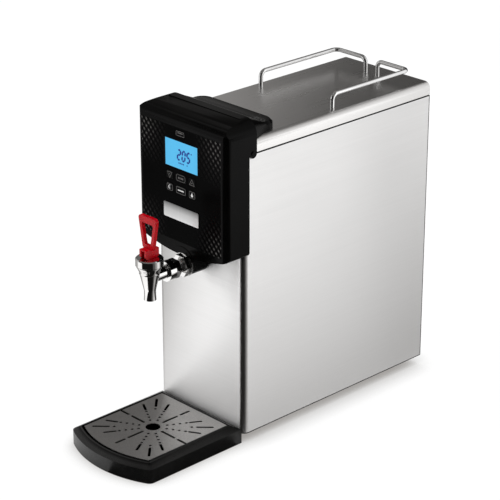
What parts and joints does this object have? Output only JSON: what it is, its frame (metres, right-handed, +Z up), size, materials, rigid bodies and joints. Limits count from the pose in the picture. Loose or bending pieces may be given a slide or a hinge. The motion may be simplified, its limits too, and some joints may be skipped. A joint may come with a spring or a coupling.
{
  "type": "hot water dispenser",
  "caption": "Countertop hot water dispenser: steel box on feet, black control head with keys and display, sprung pull faucet, drip tray with lift-out grate, cup rails on the lid.",
  "frame": {"origin": "on the counter, under the middle of the whole object", "axes": "+X to the right of the body, the front with the head and tray faces -Y, +Z up"},
  "size_m": [0.1868, 0.597, 0.49],
  "materials": {
    "body_steel": "bright brushed sheet",
    "lid_steel": "satin sheet",
    "case_steel": "bare galvanised sheet",
    "rail_chrome": "polished rod",
    "fastener_steel": "plain fasteners",
    "foot_rubber": "matt rubber",
    "head_black": "satin moulding",
    "black_screw": "blackened steel",
    "overlay_black": "gloss film with a woven pattern at its corners",
    "lcd_glass": "lit blue window",
    "lcd_unit": "display unit",
    "key_black": "satin caps with printed signs",
    "board_green": "circuit board",
    "part_black": "moulded electrical parts",
    "badge_metal": "bare brushed plate",
    "sleeve_black": "gloss moulding",
    "faucet_chrome": "polished plating",
    "inner_steel": "plain stainless steel",
    "silicone": "pale silicone",
    "handle_red": "red moulding",
    "jacket_felt": "insulating felt",
    "element_sheath": "dull metal sheath",
    "valve_white": "moulded valve",
    "inlet_brass": "turned brass",
    "gland_black": "moulded gland",
    "transformer_iron": "lacquered core",
    "tray_black": "satin moulding",
    "grate_steel": "brushed plate"
  },
  "bodies": {
    "body": {"body_wrap": "body_steel", "lid": "lid_steel", "base_pan": "case_steel", "rear_panel": "case_steel", "tray_bracket": "case_steel", "tank_shelf": "case_steel", "rail_left": "rail_chrome", "rail_right": "rail_chrome", "rail_nuts": "fastener_steel", "case_screws": "fastener_steel", "rubber_feet": "foot_rubber", "head_shell": "head_black", "head_saddle": "head_black", "saddle_screws": "black_screw", "control_overlay": "overlay_black", "lcd_window": "lcd_glass", "lcd_module": "lcd_unit", "control_board": "board_green", "power_board": "board_green", "key_switches": "part_black", "relay": "part_black", "thermal_cutout": "part_black", "badge_plate": "badge_metal", "faucet_sleeve": "sleeve_black", "faucet_shank": "faucet_chrome", "shank_washer": "faucet_chrome", "shank_nut": "faucet_chrome", "coupling_nut": "faucet_chrome", "faucet_body": "faucet_chrome", "faucet_bonnet": "faucet_chrome", "tank_nut": "inner_steel", "faucet_spring": "inner_steel", "tank": "inner_steel", "tank_cover": "inner_steel", "level_probe": "inner_steel", "temperature_probe": "inner_steel", "tank_seal": "silicone", "tank_gasket": "silicone", "vent_tube": "silicone", "fill_tube": "silicone", "tank_jacket": "jacket_felt", "heating_element": "element_sheath", "inlet_valve": "valve_white", "inlet_fitting": "inlet_brass", "cord_gland": "gland_black", "transformer": "transformer_iron"},
    "stem": {"faucet_stem": "inner_steel", "seat_cup": "silicone", "handle_pin": "inner_steel"},
    "handle": {"handle": "handle_red"},
    "tray": {"drip_tray": "tray_black"},
    "grate": {"drip_grate": "grate_steel"},
    "key_power": {"key_power": "key_black"},
    "key_down": {"key_down": "key_black"},
    "key_program": {"key_program": "key_black"},
    "key_up": {"key_up": "key_black"},
    "key_left": {"key_left": "key_black"},
    "key_start": {"key_start": "key_black"},
    "key_right": {"key_right": "key_black"}
  },
  "joints": [
    {"name": "stem_lift", "type": "slide", "parent": "body", "child": "stem", "axis": [0, 0, 1], "range_m": [0, 0.0039], "stiffness_N_per_m": 200, "deforming": ["faucet_spring"]},
    {"name": "handle_pull", "type": "hinge", "parent": "stem", "child": "handle", "pos_m": [0, -0.1965, 0.301], "axis": [1, 0, 0], "range_deg": [0, 28.5]},
    {"name": "press_power", "type": "slide", "parent": "body", "child": "key_power", "axis": [0, 1, 0], "range_m": [0, 0.0005], "stiffness_N_per_m": 500},
    {"name": "press_down", "type": "slide", "parent": "body", "child": "key_down", "axis": [0, 1, 0], "range_m": [0, 0.0005], "stiffness_N_per_m": 500},
    {"name": "press_program", "type": "slide", "parent": "body", "child": "key_program", "axis": [0, 1, 0], "range_m": [0, 0.0005], "stiffness_N_per_m": 500},
    {"name": "press_up", "type": "slide", "parent": "body", "child": "key_up", "axis": [0, 1, 0], "range_m": [0, 0.0005], "stiffness_N_per_m": 500},
    {"name": "press_left", "type": "slide", "parent": "body", "child": "key_left", "axis": [0, 1, 0], "range_m": [0, 0.0005], "stiffness_N_per_m": 500},
    {"name": "press_start", "type": "slide", "parent": "body", "child": "key_start", "axis": [0, 1, 0], "range_m": [0, 0.0005], "stiffness_N_per_m": 500},
    {"name": "press_right", "type": "slide", "parent": "body", "child": "key_right", "axis": [0, 1, 0], "range_m": [0, 0.0005], "stiffness_N_per_m": 500},
    {"name": "tray_slide", "type": "slide", "parent": "body", "child": "tray", "axis": [0, -1, 0], "range_m": [0, 0.12]},
    {"name": "grate_lift", "type": "slide", "parent": "tray", "child": "grate", "axis": [0, 0, 1], "range_m": [0, 0.03]}
  ],
  "couplings": [
    {"joint": "handle_pull", "follows": "stem_lift", "rad_per_m": 125}
  ]
}
